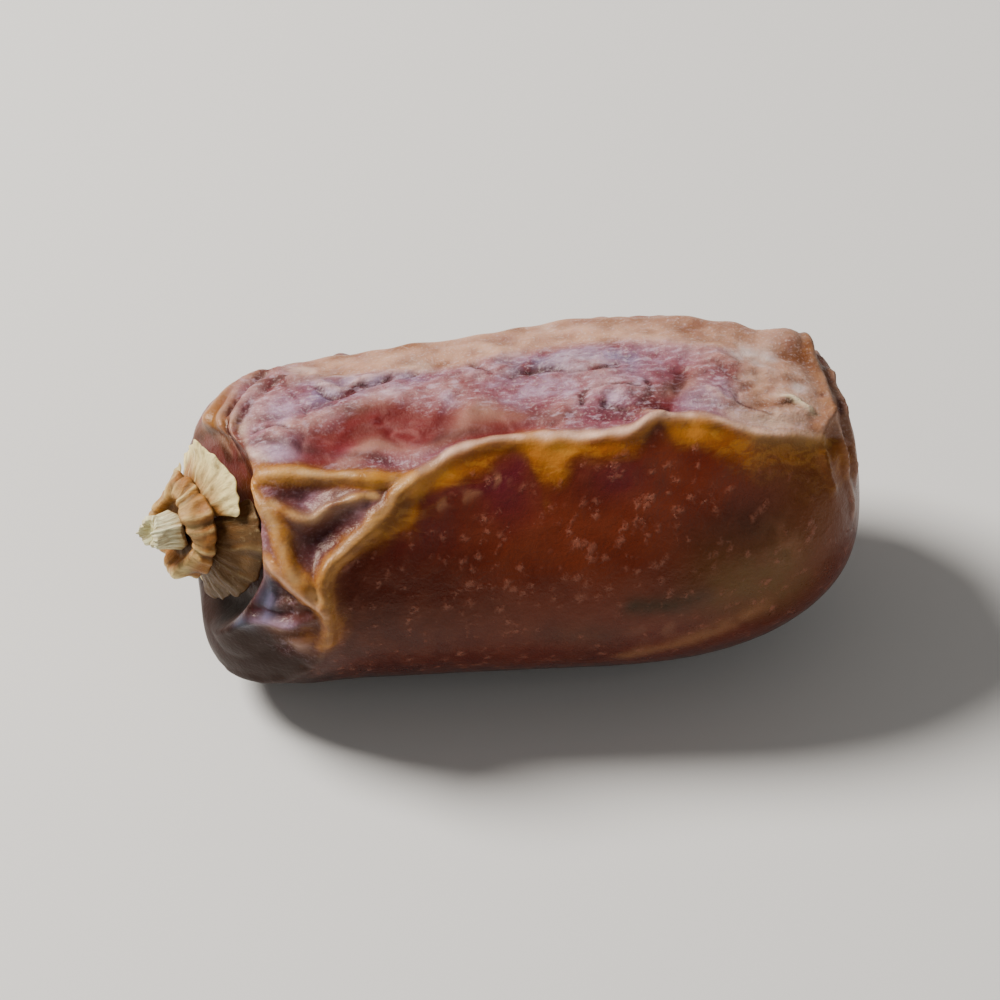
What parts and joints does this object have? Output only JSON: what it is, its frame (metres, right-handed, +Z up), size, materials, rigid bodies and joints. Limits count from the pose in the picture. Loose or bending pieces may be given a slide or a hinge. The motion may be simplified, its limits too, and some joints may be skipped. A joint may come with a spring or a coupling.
{
  "type": "date fruit",
  "caption": "Semi-dry date lying on its side: wrinkled glossy skin with a raised ridge, a dried petal cap and a broken strand stub at one end.",
  "frame": {"origin": "on the surface the date rests on, under the middle of its plan", "axes": "+X from the cap to the blunt tip of the fruit, +Y to the back, +Z up"},
  "size_m": [0.0416, 0.021, 0.0192],
  "materials": {
    "skin": "glossy dried skin, red-brown with a dusty lilac and beige bloom on the upper face and golden translucent ridges",
    "husk": "dry matt petals, cream to orange-brown, darker and glossier where they touch the fruit",
    "fibre": "pale torn plant fibre, matt"
  },
  "bodies": {
    "root": {"fruit": "skin", "petal_upper": "husk", "petal_front": "husk", "petal_back": "husk", "sepal_cup": "husk", "strand_stub": "fibre"}
  },
  "joints": []
}
